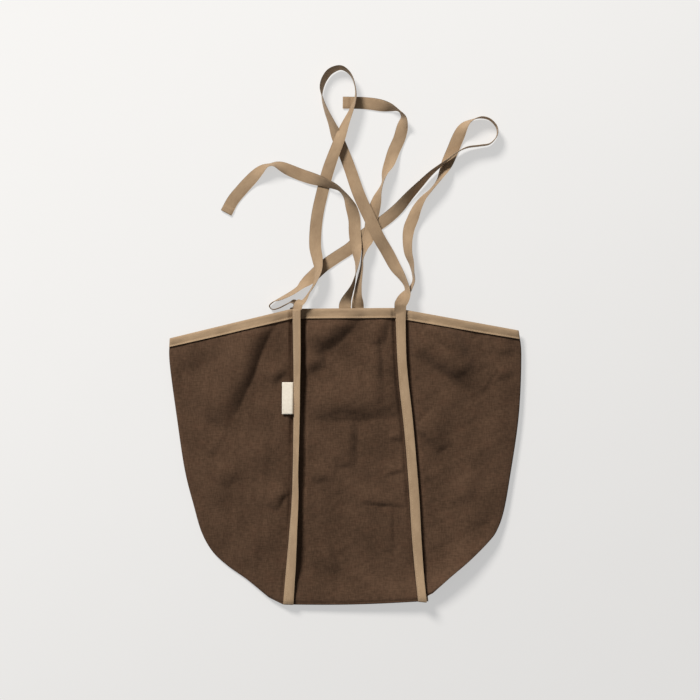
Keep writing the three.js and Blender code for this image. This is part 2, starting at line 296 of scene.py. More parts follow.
def edge_lift(panel, u, v):
    """How far both layers curl up off the floor along the bottom and the outer edges, most at the
    lower right. The curl of the bottom runs out over the side panels."""
    bottom = bell(v, BOTTOM_LIFT_REACH)
    if panel == "right_side":
        outer = u**2
        edge = RIGHT_EDGE_LIFT + CORNER_LIFT * bell(v - CORNER_AT, CORNER_REACH)
        return edge * outer + BOTTOM_LIFT_RIGHT * bottom * (1 - outer)
    if panel == "left_side":
        outer = (1 - u) ** 2.5
        return LEFT_EDGE_LIFT * outer + BOTTOM_LIFT_LEFT * bottom * (1 - LEFT_CORNER_DROP * outer)
    return (BOTTOM_LIFT_LEFT + (BOTTOM_LIFT_RIGHT - BOTTOM_LIFT_LEFT) * u**1.5) * bottom


def back_surface(panel, u, v):
    """The inner face of the back: it rises from the side edges to the seams, and the middle panel
    sags from them to the floor as a flat-bottomed trough."""
    places, width = across(panel, u, v)
    u, v = np.broadcast_arrays(u, v)
    if panel == "center":
        inward = np.minimum(u, 1 - u) * width
        sag = 1 - bell(np.maximum(inward - TROUGH_LEDGE, 0), TROUGH_WALL)
        ends = ramp(v, *TROUGH_FOOT) * (1 - TROUGH_HEAD_RISE * ramp(v, *TROUGH_HEAD))
        height = SEAM_STACK * (1 - sag * ends)
    else:
        toward_seam = u if panel == "left_side" else 1 - u
        height = SIDE_LIFT + (SEAM_STACK - SIDE_LIFT) * (1 - (1 - toward_seam) ** BACK_ARCH)
    height = height + edge_lift(panel, u, v)
    return np.dstack([places, height + CLOTH])


def sheet_ring(top, thickness):
    """A sheet as a closed ring of columns: its upper face from left to right, then its lower face
    back from right to left, a thickness below it along the surface's own normals."""
    along, over = np.gradient(top, axis=0), np.gradient(top, axis=1)
    under = top - unit(np.cross(over, along)) * thickness
    return np.concatenate([top, under[:, ::-1]], axis=1)


def ring_mesh(name, rows, uv, material):
    """A closed mesh through rows of like rings: a quad for each cell, the last column joined to the
    first, and each end closed by a strip between the two halves of its ring. uv has one more column
    than rows, so that a pattern can run on round the ring."""
    count, columns = rows.shape[:2]
    i, j = np.meshgrid(np.arange(count - 1), np.arange(columns), indexing="ij")
    after = (j + 1) % columns
    cells = np.stack(
        [i * columns + j, i * columns + after, (i + 1) * columns + after, (i + 1) * columns + j], -1
    ).reshape(-1, 4)
    cell_uv = np.stack([uv[i, j], uv[i, j + 1], uv[i + 1, j + 1], uv[i + 1, j]], 2).reshape(-1, 2)
    near = np.arange(columns // 2 - 1)
    far = columns - 1 - near
    first = np.stack([near, far, far - 1, near + 1], -1)
    last = first[:, ::-1]
    faces = np.vstack([cells, first, (count - 1) * columns + last])
    corner_uv = np.vstack([cell_uv, uv[0][first].reshape(-1, 2), uv[-1][last].reshape(-1, 2)])
    mesh = bpy.data.meshes.new(name)
    mesh.from_pydata(rows.reshape(-1, 3), [], faces)
    mesh.uv_layers.new(name="weave").data.foreach_set("uv", corner_uv.astype(np.float32).ravel())
    mesh.polygons.foreach_set("use_smooth", np.ones(len(faces), bool))
    mesh.materials.append(material)
    piece = bpy.data.objects.new(name, mesh)
    bpy.context.collection.objects.link(piece)
    return piece


def sheet_uv(top):
    """Each point's own place on the floor plan, in metres, for both faces of a sheet ring."""
    plan = np.concatenate([top, top[:, ::-1], top[:, :1]], axis=1)
    return plan[..., :2]


linen, shade, principled = surface_material(
    "linen",
    {"Roughness": 0.95, "Sheen Weight": 0.04, "Sheen Roughness": 0.5, "Specular IOR Level": 0.1},
)
place = shade.make("TexCoord", out="UV")
warp, weft = ((axis * THREADS).sine() for axis in place.plan())
slubs = shade.noise(place, (120, 600, 1)) * 0.5 + shade.noise(place, (600, 120, 1)) * 0.5
washed = shade.noise(place, (18, 15, 1), detail=6, roughness=0.6)
rust = shade.noise(place, (55, 90, 1), detail=3).between(0.45, 0.75)
tone = slubs * 0.68 + washed * 0.32 + warp * weft * 0.04
feed(
    principled,
    Base_Color=(rust * 0.12).mix(tone.between(0.34, 0.66).mix(LINEN_DARK, LINEN_LIGHT), LINEN_RUST),
    Normal=shade.make(
        "Bump",
        None,
        {"Strength": 0.35, "Distance": 0.0004, "Height": warp * weft * 0.35 + slubs},
    ),
)

rows_up = np.linspace(0, 1, 200)[:, None]
columns_over = {
    panel: np.linspace(0, 1, count)[None, :]
    for panel, count in (("left_side", 88), ("center", 88), ("right_side", 80))
}
for panel, u in columns_over.items():
    top = back_surface(panel, u, rows_up * BACK_TOP)
    piece = ring_mesh(f"back_{panel}_cloth", sheet_ring(top, CLOTH), sheet_uv(top), linen)
    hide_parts(f"back_{panel}_panel")
    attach(piece, "back_wall")


# The front of the bag: the same three panels over the back, sewn to it along the sides and bottom
# and loose at the mouth. The washed linen keeps the long folds and small creases of being carried.
MOUTH_GAP = 0.01
SIDE_GAP = 0.0018
GAP = 0.0003
FRONT_ARCH = 2.2
SEAM_SINK = 0.42
SINK_EASED = 0.6
SINK_EASED_BAND = (0.95, 1)
LEFT_GROOVE = 0.0152
RIGHT_GROOVE = 0.0172
NARROW_GROOVE = 0.002
GROOVE_WALL = 0.0045
HELD_NARROW = 0.006
HELD_WIDE = 0.014
EDGE_ROLL = 0.001
EDGE_ROLL_REACH = 0.003
BOTTOM_ROLL = 0.0022
BOTTOM_ROLL_REACH = 0.012
BOTTOM_BAND = (0, 0.06)
MOUTH_BAND = (0.955, 0.99)
MOUTH_FLATNESS = 0.8
FOLD_TAPER = 0.7
RIPPLES = (0.09, 0.07, 0.055, 0.043, 0.034, 0.026, 0.019, 0.014)
RIPPLE_STEEPNESS = 0.008
FOLLOW = {"left_side": (-0.225, -0.075), "right_side": (0.225, 0.095)}
# Each fold: its spine, its height, how far off its crease and its slow side end, its softness.
FOLDS = {
    "left_side": [
        (
            [
                (-0.172, 0.045), (-0.1537, 0.0807), (-0.1454, 0.0985), (-0.1365, 0.1191),
                (-0.1305, 0.1371), (-0.123, 0.1549), (-0.1112, 0.1781), (-0.092, 0.213),
            ],
            0.0112, 0.019, 0.036, 1,
        ),
        ([(-0.182, 0.002), (-0.172, 0.018), (-0.163, 0.036)], 0.0025, 0.01, 0.016, 1.5),
        ([(-0.172, -0.034), (-0.156, -0.02), (-0.138, -0.014)], 0.0052, 0.018, 0.02, 1.5),
        ([(-0.094, -0.07), (-0.087, -0.052), (-0.074, -0.044)], 0.0042, 0.008, 0.012, 1.5),
        ([(-0.1, 0.1), (-0.088, 0.112), (-0.074, 0.117)], 0.0046, 0.0105, 0.012, 1.5),
        ([(-0.222, 0.122), (-0.192, 0.142), (-0.162, 0.162)], 0.0044, 0.022, 0.024, 1.5),
    ],
    "center": [
        (
            [
                (-0.062, 0.146), (-0.0463, 0.154), (-0.0279, 0.163), (-0.012, 0.1766),
                (0.0037, 0.1965), (0.014, 0.214),
            ],
            0.0104, 0.0235, 0.024, 1.5,
        ),
        ([(-0.058, 0.115), (-0.044, 0.1265), (-0.026, 0.13)], 0.0064, 0.0145, 0.012, 1.5),
        ([(-0.056, 0.074), (-0.01, 0.0715), (0.03, 0.0725), (0.08, 0.078)], 0.0102, 0.0255, 0.032, 1.5),
        (
            [(0.0465, 0.071), (0.0414, 0.1057), (0.0414, 0.1226), (0.0387, 0.148), (0.037, 0.17)],
            0.0046, 0.0095, 0.012, 1.5,
        ),
        ([(0.044, 0.148), (0.046, 0.17), (0.052, 0.19)], 0.0054, 0.0115, 0.014, 1.5),
        ([(0.058, 0.0295), (0.07, 0.0258), (0.081, 0.0248)], 0.0028, 0.006, 0.01, 1.2),
        ([(0.05, -0.0214), (0.066, -0.017), (0.082, -0.0146)], 0.0028, 0.006, 0.01, 1.2),
        ([(0.002, -0.014), (0.003, 0.02), (0.005, 0.056)], 0.0056, 0.0145, 0.016, 1.5),
        ([(0.018, -0.055), (0.045, -0.058), (0.084, -0.0615)], 0.0034, 0.0075, 0.012, 1.2),
        ([(0.06, -0.126), (0.0586, -0.095), (0.0578, -0.067)], 0.0032, 0.0065, 0.011, 1.2),
        ([(-0.008, -0.152), (-0.018, -0.135), (-0.024, -0.118)], 0.0028, 0.0075, 0.01, 1.5),
        ([(-0.046, -0.03), (-0.03, -0.022), (-0.012, -0.024)], 0.0038, 0.013, 0.015, 1.5),
    ],
    "right_side": [
        (
            [
                (0.083, 0.171), (0.0975, 0.1553), (0.115, 0.1466), (0.135, 0.1333),
                (0.152, 0.1227), (0.169, 0.112), (0.192, 0.097),
            ],
            0.012, 0.0245, 0.026, 1.5,
        ),
        ([(0.132, 0.11), (0.1495, 0.1165), (0.168, 0.129)], 0.0034, 0.0115, 0.016, 1.5),
        ([(0.11, 0.179), (0.134, 0.158), (0.16, 0.1385)], 0.0052, 0.0125, 0.014, 1.5),
        ([(0.1, 0.046), (0.114, 0.034), (0.13, 0.008)], 0.0066, 0.0155, 0.018, 1.5),
        ([(0.184, 0.149), (0.207, 0.146), (0.23, 0.147)], 0.0034, 0.013, 0.02, 1.5),
        ([(0.196, 0.106), (0.212, 0.111), (0.228, 0.112)], 0.0026, 0.007, 0.01, 1.5),
        ([(0.122, -0.06), (0.15, -0.05), (0.18, -0.035)], 0.0036, 0.016, 0.026, 1.5),
    ],
}


def fold(places, spine, height, lee, windward, softness):
    """A ridge along a spine: on the left its height falls off slowly as a bell with the distance from
    the spine, on the right as a parabola that ends in a crease, smoothed by raising it to a power,
    and to nothing at both ends."""
    shares = np.linspace(0, 1, 120)
    line = through(spine, shares)
    heading = unit(np.gradient(line, axis=0))
    nearest = np.argmin(((places[..., None, :] - line) ** 2).sum(-1), axis=-1)
    offset = places - line[nearest]
    side = offset[..., 0] * heading[nearest][..., 1] - offset[..., 1] * heading[nearest][..., 0]
    near = np.clip(1 - (side / lee) ** 2, 0, 1) ** softness
    profile = np.where(side > 0, near, bell(side, windward))
    return height * profile * np.sin(np.pi * shares[nearest]) ** FOLD_TAPER


def crumple(places, seed):
    """Slight all-over unevenness: a sum of ripples whose directions, lengths and starts are drawn
    once from a fixed seed."""
    draw = np.random.default_rng(seed)
    total = np.zeros(places.shape[:-1])
    for length in RIPPLES:
        angle, start = draw.uniform(0, 2 * np.pi, 2)
        wave = places @ np.array([np.cos(angle), np.sin(angle)]) / length
        total += length * np.sin(2 * np.pi * wave + start)
    return total * RIPPLE_STEEPNESS


def groove(distance, floor_width):
    """1 over a groove's flat floor, falling smoothly to 0 up the wall at its edge."""
    up = ramp(distance, floor_width, floor_width + GROOVE_WALL)
    return 1 - up * up * (3 - 2 * up)


def front_surface(panel, u, v):
    """The outer face of the front: low along the side edges, level between the seams and climbing
    towards the open mouth, drawn down into a groove at each seam, with the panel's folds on it."""
    places, width = across(panel, u, v)
    u, v = np.broadcast_arrays(u, v)
    seam = SEAM_STACK + 2 * CLOTH + GAP + MOUTH_GAP * v
    edge = SIDE_LIFT + 2 * CLOTH + GAP + SIDE_GAP * v
    sink = SEAM_SINK * MOUTH_GAP * v * (1 - SINK_EASED * ramp(v, *SINK_EASED_BAND))
    from_left, from_right = u * width, (1 - u) * width
    if panel == "center":
        sunk = np.maximum(groove(from_left, LEFT_GROOVE), groove(from_right, NARROW_GROOVE))
        height = seam - sink * sunk
        loose = (1 - bell(from_left, HELD_WIDE)) * (1 - bell(from_right, HELD_NARROW))
    else:
        toward_seam = u if panel == "left_side" else 1 - u
        outer, inner = toward_seam * width, (1 - toward_seam) * width
        sunk = groove(inner, NARROW_GROOVE if panel == "left_side" else RIGHT_GROOVE)
        height = edge + (seam - edge) * (1 - (1 - toward_seam) ** FRONT_ARCH)
        height = height - sink * sunk - EDGE_ROLL * bell(outer, EDGE_ROLL_REACH)
        loose = (1 - bell(outer, HELD_WIDE)) * (1 - sunk)
    relief = crumple(places, len(panel)) + sum(fold(places, *shape) for shape in FOLDS[panel])
    free = (1 - MOUTH_FLATNESS * ramp(v, *MOUTH_BAND)) * ramp(v, *BOTTOM_BAND)
    height = height + relief * loose * free + edge_lift(panel, u, v)
    return np.dstack([places, height - BOTTOM_ROLL * bell(v, BOTTOM_ROLL_REACH)])


def follow_front(piece, panel):
    """A side of the front is baked where it lies; the middle panel goes with the front wall."""
    if panel in FOLLOW:
        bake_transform(piece)
    else:
        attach(piece, "front_wall")


for panel, u in columns_over.items():
    top = front_surface(panel, u, rows_up)
    piece = ring_mesh(f"front_{panel}_cloth", sheet_ring(top, CLOTH), sheet_uv(top), linen)
    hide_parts(f"front_{panel}_panel")
    follow_front(piece, panel)


# The mouth binding: tan cotton twill tape folded over the raw edge of each panel, so that as much
# shows inside as out, and sewn through close to its lower edges.
TAPE_DARK = (0.25, 0.166, 0.097, 1)
TAPE_LIGHT = (0.425, 0.303, 0.19, 1)
TWILL = 2 * math.pi / 0.0011
BINDING_DEPTH = 0.0126
TAPE = 0.0006
NOSE_DEPTH = 0.0009
PROBE = 0.01
CURL = (
    0.0017, 0.0005, 0.0003, 0.0005, 0.0008, 0.0011, 0.0013,
    0.0015, 0.0016, 0.0016, 0.0015, 0.0011, 0.0003,
)
THREAD_COLOR = (0.5, 0.37, 0.23, 1)
STITCH_PITCH = 0.0034
STITCH_LENGTH = 0.0024
STITCH_WIDTH = 0.0007
STITCH_RISE = 0.0004
FIRST_STITCH = 0.0025
LAST_STITCH = 0.002

tape, shade, principled = surface_material(
    "tape",
    {"Roughness": 0.88, "Sheen Weight": 0.1, "Sheen Roughness": 0.5, "Specular IOR Level": 0.25},
)
place = shade.make("TexCoord", out="UV")
cross, length = place.plan()
twill = ((cross + length) * TWILL).sine()
faded = shade.noise(place, (45, 28, 1), detail=4)
yarn = shade.noise(place, (1500, 160, 1), detail=2)
tone = faded * 0.6 + yarn * 0.35 + twill * 0.05
feed(
    principled,
    Base_Color=tone.between(0.15, 0.85).mix(TAPE_DARK, TAPE_LIGHT),
    Normal=shade.make(
        "Bump", None, {"Strength": 0.4, "Distance": 0.0003, "Height": twill * 0.4 + yarn}
    ),
)


def folded_tape(surface, panel, u, top):
    """Tape folded over an edge: at each place across the panel the ring runs up the outer leg, a
    tape's thickness and its curl above the cloth, round the fold beyond the edge, down the inner leg,
    and back inside."""
    # The share of the panel's height that the binding's depth takes up at each place.
    edge, below = (across(panel, u.T, np.full_like(u.T, v))[0] for v in (top, top - PROBE))
    reach = BINDING_DEPTH * PROBE / np.linalg.norm(edge - below, axis=-1)
    skin = surface(panel, u.T, top - reach * np.linspace(1, 0, len(CURL))[None, :])
    outer = skin.copy()
    outer[..., 2] += TAPE + GAP + np.array(CURL)
    inner = skin - (0, 0, CLOTH + TAPE + GAP)
    nose = skin[:, -1:] + (0, TAPE, -CLOTH / 2)
    lining_out = skin + (0, 0, GAP)
    lining_in = skin - (0, 0, CLOTH + GAP)
    out = np.concatenate([outer, nose, inner[:, ::-1]], axis=1)
    back = np.concatenate([lining_in, nose - (0, NOSE_DEPTH, 0), lining_out[:, ::-1]], axis=1)
    return np.concatenate([out, back], axis=1)


def ring_uv(rows):
    """How far round the ring and how far along the piece each point lies, in metres."""
    closed = np.concatenate([rows, rows[:, :1]], axis=1)
    round_it = np.cumsum(np.linalg.norm(np.diff(closed, axis=1), axis=2), axis=1)
    round_it = np.concatenate([np.zeros((len(rows), 1)), round_it], axis=1)
    middle = rows.mean(axis=1)
    along = np.concatenate([[0], np.cumsum(np.linalg.norm(np.diff(middle, axis=0), axis=1))])
    return np.dstack([round_it, np.broadcast_to(along[:, None], round_it.shape)])


def sewing(name, line, beside, rise):
    """A row of stitches along a line on a surface that also holds the points beside it: at each
    pitch a lozenge that stands out by the rise on both sides of the surface."""
    along = np.concatenate([[0], np.cumsum(np.linalg.norm(np.diff(line, axis=0), axis=1))])
    at = np.arange(FIRST_STITCH, along[-1] - LAST_STITCH, STITCH_PITCH)

    def spread(values):
        return np.stack([np.interp(at, along, values[:, axis]) for axis in range(3)], -1)

    heading = unit(spread(np.gradient(line, axis=0)))
    normal = unit(np.cross(heading, spread(beside - line)))
    shape = np.array([(1, 0, 0), (0, 1, 0), (-1, 0, 0), (0, -1, 0), (0, 0, 1), (0, 0, -1)])
    sideways = np.cross(normal, heading)
    axes = [heading * STITCH_LENGTH / 2, sideways * STITCH_WIDTH / 2, normal * rise]
    corners = spread(line)[:, None] + shape @ np.stack(axes, 1)
    faces = np.array(
        [(0, 1, 4), (1, 2, 4), (2, 3, 4), (3, 0, 4), (1, 0, 5), (2, 1, 5), (3, 2, 5), (0, 3, 5)]
    )
    faces = (faces + len(shape) * np.arange(len(at))[:, None, None]).reshape(-1, 3)
    mesh = bpy.data.meshes.new(name)
    mesh.from_pydata(corners.reshape(-1, 3), [], faces)
    mesh.materials.append(thread)
    piece = bpy.data.objects.new(name, mesh)
    bpy.context.collection.objects.link(piece)
    return piece


thread = surface_material("thread", {"Base Color": THREAD_COLOR, "Roughness": 0.7})[0]
for face, surface, top in (("front", front_surface, 1), ("back", back_surface, BACK_TOP)):
    for panel, u in columns_over.items():
        rows = folded_tape(surface, panel, u, top)
        piece = ring_mesh(f"{face}_{panel}_mouth_tape", rows, ring_uv(rows), tape)
        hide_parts(f"{face}_{panel}_mouth_binding")
        stitches = sewing(f"{face}_{panel}_mouth_sewing", rows[:, 2], rows[:, 3], STITCH_RISE)
        for item in (piece, stitches):
            if face == "front":
                follow_front(item, panel)
            else:
                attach(item, "back_wall")


# The seam binding: the raw edges of each seam stand outside the bag, wrapped in the same tape, here
# a little wider and there a little narrower, and leaning to the right. The front left one has sprung
# up, the front right one stands less, and the back ones are pressed flat under the bag.
SEAM_TAPE = 0.0024
SEAM_STEPS = 150
FIN_COLUMNS = 8
BACK_SEAM_SINK = 0.0012
# The tapes' widths, and their leans in degrees, evenly spaced from the bottom to the mouth.
SEAM_WIDTHS = {
    ("front", "left"): [
        0.0142, 0.014, 0.0148, 0.0166, 0.0176, 0.0176, 0.0162, 0.0138, 0.0128,
        0.0128, 0.0132, 0.0128, 0.0134, 0.0154, 0.018, 0.0184, 0.018,
    ],
    ("front", "right"): [0.0138, 0.0138],
    ("back", "left"): [0.0145, 0.0145],
    ("back", "right"): [0.0138, 0.0138],
}
LEANS = {
    ("front", "left"): [14, 16, 28, 39, 47, 50, 50, 46, 46, 53, 53, 49, 49, 54, 56, 55, 52],
    ("front", "right"): [36, 36, 35, 33, 30, 28, 26, 24, 24, 26, 27, 26, 23, 26, 31, 26, 16],
    ("back", "left"): [0, 0],
    ("back", "right"): [0, 0],
}


def seam_tape(line, widths, leans, heights, outward):
    """A flat ring with a rounded nose carried up the seam: its root is on the seam line, and it runs
    off to the right by its width there, at an angle from the cloth, away from the bag."""
    v = np.linspace(0, 1, len(heights))
    root = through(line, v)
    lean = np.radians(through([(angle,) for angle in leans], v))
    half = np.linspace(0, 1, FIN_COLUMNS)
    bulge = SEAM_TAPE / 2 * np.sqrt(np.clip(1 - (2 * half - 1) ** 6, 0, 1))
    run = np.concatenate([half, half[::-1]]) * through([(width,) for width in widths], v)
    rise = np.concatenate([bulge, -bulge])
    x = root[:, :1] + run * np.cos(lean) - rise * np.sin(lean)
    z = heights[:, None] + outward * (run * np.sin(lean) + rise * np.cos(lean) + SEAM_TAPE / 2)
    return np.dstack([x, np.broadcast_to(root[:, 1:], x.shape), z])


seam_rows = {}
for face, outward in (("front", 1), ("back", -1)):
    for side, line, panel in (("left", LEFT_SEAM, "left_side"), ("right", RIGHT_SEAM, "center")):
        v = np.linspace(0, 1, SEAM_STEPS)
        if face == "front":
            heights = front_surface(panel, np.array([[1.0]]), v[:, None])[:, 0, 2]
        else:
            heights = SEAM_STACK - BACK_SEAM_SINK + edge_lift(panel, 1.0, v)
        rows = seam_tape(line, SEAM_WIDTHS[face, side], LEANS[face, side], heights, outward)
        rows = rows[:, ::outward]
        seam_rows[face, side] = rows
        piece = ring_mesh(f"{face}_{side}_seam_tape", rows, ring_uv(rows), tape)
        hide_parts(f"{face}_{side}_seam_binding")
        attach(piece, f"{face}_wall")
        stitches = sewing(f"{face}_{side}_seam_sewing", rows[:, 2], rows[:, 3], STITCH_RISE)
        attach(stitches, f"{face}_wall")


# The label: a short piece of cream woven ribbon, bare, its end caught in the front left seam so
# that it sticks out to the left over the side panel.
LABEL_WIDTH = 0.0149
LABEL_TUCK = 0.001
LABEL_LENGTH = 0.0422
LABEL_MIDDLE = 0.0773
LABEL_THICKNESS = 0.0006
ROOT_LIFT = 0.0012
TIP_LIFT = 0.0034
ROOT_DIP = 18
LABEL_LIGHT = (0.83, 0.77, 0.66, 1)
LABEL_DARK = (0.72, 0.65, 0.54, 1)
RIBS = 2 * math.pi / 0.0007

ribbon, shade, principled = surface_material("ribbon", {"Roughness": 0.7, "Sheen Weight": 0.1})
place = shade.make("TexCoord", out="UV")
ribs = (place.plan()[1] * RIBS).sine()
tone = shade.noise(place, (300, 300, 1)) * 0.8 + ribs * 0.06
feed(
    principled,
    Base_Color=tone.between(0.1, 0.7).mix(LABEL_DARK, LABEL_LIGHT),
    Normal=shade.make("Bump", None, {"Strength": 0.3, "Distance": 0.0002, "Height": ribs}),
)


def label_surface(out_share, up_share):
    """The ribbon's upper face, at shares of its width out from the seam and of its length up it:
    level with a lift over the cloth below its free end, and dipping steeply to the seam at its root."""
    y = LABEL_MIDDLE + LABEL_LENGTH * (up_share - 0.5)
    seam_shares = np.linspace(0, 1, 400)
    v = np.interp(y, through(LEFT_SEAM, seam_shares)[:, 1], seam_shares)
    at_seam = np.ones_like(v)
    root = front_surface("left_side", at_seam, v)
    tip = front_surface("left_side", 1 - LABEL_WIDTH / across("left_side", at_seam, v)[1], v)
    low, high = root[..., 2] + ROOT_LIFT, tip[..., 2] + TIP_LIFT
    x = root[..., 0] + LABEL_TUCK - (LABEL_WIDTH + LABEL_TUCK) * out_share
    z = low + (high - low) * (1 - (1 - out_share) ** ROOT_DIP)
    return np.dstack([x, np.broadcast_to(y, x.shape), z])


top = label_surface(np.linspace(1, 0, 30)[None, :], np.linspace(0, 1, 28)[:, None])
label = ring_mesh("label_ribbon", sheet_ring(top, LABEL_THICKNESS), sheet_uv(top), ribbon)
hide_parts("label")
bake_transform(label)


# The handles and ties: the same tape folded to half its width and sewn down along both edges. Each
# handle is one length that runs on from the two seam bindings of its side of the bag, and each tie
# is sewn to the middle of the mouth and hemmed at its free end. Limp, they lie as they were dropped.
STRAP_WIDTH = 0.016
STRAP_THICKNESS = 0.0012
STRAP_STEPS = 12
TUCK_NARROWING = 0.16
TUCK_STEPS = 18
HEM = 0.0086
HEM_FOLD = 1.1
HEM_STEP = 0.0006
HEM_SEWN = 0.0016
SEWN = 0.75
SEWN_DIP = 0.0001
SEWN_REACH = 0.08
SEWN_PROUD = 0.0002
BENDS = {"front_handle": (0.198, 0.248), "back_handle": (0.206, 0.252)}
# The front handle's ends lie inside the seam tapes at these rows, and it rises out of the left one
# through these points. Each point of a route is its place and the strap's roll in degrees.
FIN_ROWS = (140, 146)
LEFT_RISE = [(-0.0612, 0.2005, 0.0232, 40), (-0.0545, 0.2062, 0.0222, 66)]
FRONT_HANDLE_ROUTE = [
    (-0.065, 0.1955, 0.0204, 0), (-0.0646, 0.1995, 0.0203, 4), (-0.062, 0.205, 0.0195, 24),
    (-0.0565, 0.2095, 0.0181, 60), (-0.0485, 0.215, 0.0162, 82), (-0.042, 0.225, 0.0156, 80),
    (-0.0375, 0.236, 0.0144, 68), (-0.035, 0.248, 0.012, 50), (-0.0365, 0.262, 0.0086, 26),
    (-0.0395, 0.278, 0.0042, 10), (-0.039, 0.3006, 0.0016, 0), (-0.036, 0.3245, 0.0014, 0),
    (-0.03, 0.3511, 0.0014, 0), (-0.023, 0.3777, 0.0034, 6), (-0.015, 0.4003, 0.0086, 20),
    (-0.007, 0.4203, 0.0118, 26), (0.001, 0.4416, 0.0124, 50), (0.009, 0.4602, 0.0108, 68),
    (0.014, 0.4761, 0.0106, 82), (0.013, 0.4921, 0.0096, 90), (0.007, 0.5067, 0.009, 86),
    (-0.005, 0.515, 0.0088, 77), (-0.0185, 0.5108, 0.0082, 66), (-0.027, 0.5006, 0.0082, 65),
    (-0.031, 0.4881, 0.0086, 73), (-0.03, 0.4748, 0.009, 94), (-0.025, 0.4589, 0.0086, 108),
    (-0.017, 0.4402, 0.007, 126), (-0.009, 0.4203, 0.0036, 160), (-0.001, 0.4017, 0.0036, 160),
    (0.007, 0.3804, 0.0042, 164), (0.016, 0.3538, 0.0076, 178), (0.023, 0.3365, 0.0086, 180),
    (0.033, 0.3152, 0.0086, 180), (0.044, 0.2913, 0.0094, 180), (0.056, 0.2713, 0.0046, 178),
    (0.066, 0.2527, 0.0042, 158), (0.075, 0.2394, 0.0086, 128), (0.081, 0.2274, 0.012, 112),
    (0.082, 0.2168, 0.0152, 120), (0.078, 0.2086, 0.018, 150), (0.074, 0.203, 0.0198, 174),
    (0.073, 0.1995, 0.0203, 179), (0.073, 0.1965, 0.0204, 180),
]
BACK_HANDLE_ROUTE = [
    (0.073, 0.1946, 0.0013, 0), (0.0732, 0.199, 0.0015, 2), (0.0752, 0.206, 0.0033, 18),
    (0.0798, 0.2135, 0.0062, 44), (0.0865, 0.2225, 0.0086, 71), (0.091, 0.2328, 0.009, 80),
    (0.09, 0.2447, 0.009, 80), (0.088, 0.2567, 0.0082, 66), (0.084, 0.27, 0.007, 50),
    (0.083, 0.2859, 0.0056, 38), (0.085, 0.3019, 0.0039, 22), (0.09, 0.3152, 0.0039, 22),
    (0.096, 0.3298, 0.006, 42), (0.104, 0.3425, 0.0078, 62), (0.114, 0.3531, 0.0086, 76),
    (0.124, 0.3658, 0.0084, 72), (0.132, 0.3804, 0.0058, 40), (0.138, 0.3943, 0.0018, 6),
    (0.144, 0.4083, 0.001, 0), (0.15, 0.4229, 0.002, 8), (0.157, 0.4362, 0.0058, 38),
    (0.167, 0.4449, 0.0088, 76), (0.18, 0.4491, 0.009, 90), (0.192, 0.4462, 0.009, 90),
    (0.201, 0.4362, 0.009, 90), (0.201, 0.4243, 0.009, 90), (0.192, 0.4143, 0.0092, 90),
    (0.178, 0.4116, 0.0098, 90), (0.162, 0.4092, 0.011, 90), (0.149, 0.403, 0.0118, 92),
    (0.137, 0.3937, 0.0118, 87), (0.125, 0.3844, 0.0106, 79), (0.113, 0.3744, 0.0092, 69),
    (0.1, 0.3611, 0.008, 57), (0.086, 0.3465, 0.0066, 43), (0.072, 0.3305, 0.0042, 24),
    (0.059, 0.3185, 0.0018, 7), (0.044, 0.3072, 0.0009, 0), (0.025, 0.2933, 0.0009, 0),
    (0.007, 0.2766, 0.0009, 0), (-0.012, 0.264, 0.0009, 0), (-0.029, 0.252, 0.0013, -3),
    (-0.044, 0.2381, 0.0024, -10), (-0.0525, 0.2305, 0.0052, -34), (-0.06, 0.2238, 0.008, -60),
    (-0.07, 0.2168, 0.0084, -66), (-0.084, 0.2095, 0.009, -74), (-0.0945, 0.205, 0.009, -88),
    (-0.1, 0.1995, 0.009, -90), (-0.096, 0.1948, 0.009, -90), (-0.088, 0.1964, 0.009, -90),
    (-0.08, 0.2003, 0.009, -90), (-0.073, 0.2038, 0.0088, -94), (-0.0682, 0.2034, 0.0074, -112),
    (-0.0662, 0.2, 0.0046, -142), (-0.066, 0.197, 0.0023, -168), (-0.066, 0.1942, 0.0013, -180),
]
FRONT_TIE_ROUTE = [
    (0, 0.196, 0.0153, 0), (0.0001, 0.2, 0.0151, -3), (0.0024, 0.2075, 0.0136, -34),
    (0.0062, 0.216, 0.0114, -56), (0.0106, 0.2265, 0.0098, -73), (0.0135, 0.2381, 0.0094, -86),
    (0.0152, 0.248, 0.0092, -98), (0.0163, 0.258, 0.0088, -114), (0.016, 0.2687, 0.0076, -136),
    (0.0145, 0.282, 0.0048, -162), (0.013, 0.2979, 0.0026, -176), (0.0125, 0.3139, 0.0014, -180),
    (0.009, 0.3285, 0.0036, -160), (0.003, 0.342, 0.0078, -120), (-0.005, 0.352, 0.0098, -104),
    (-0.014, 0.3578, 0.011, -116), (-0.024, 0.3618, 0.0098, -128), (-0.035, 0.3658, 0.008, -146),
    (-0.047, 0.3697, 0.0046, -166), (-0.06, 0.3744, 0.0018, -178), (-0.073, 0.3797, 0.0022, -190),
    (-0.086, 0.385, 0.0052, -216), (-0.099, 0.3866, 0.0084, -252), (-0.111, 0.3804, 0.006, -220),
    (-0.124, 0.3684, 0.0022, -189), (-0.137, 0.3544, 0.0009, -180), (-0.149, 0.3398, 0.0009, -180),
    (-0.158, 0.3232, 0.0009, -180),
]
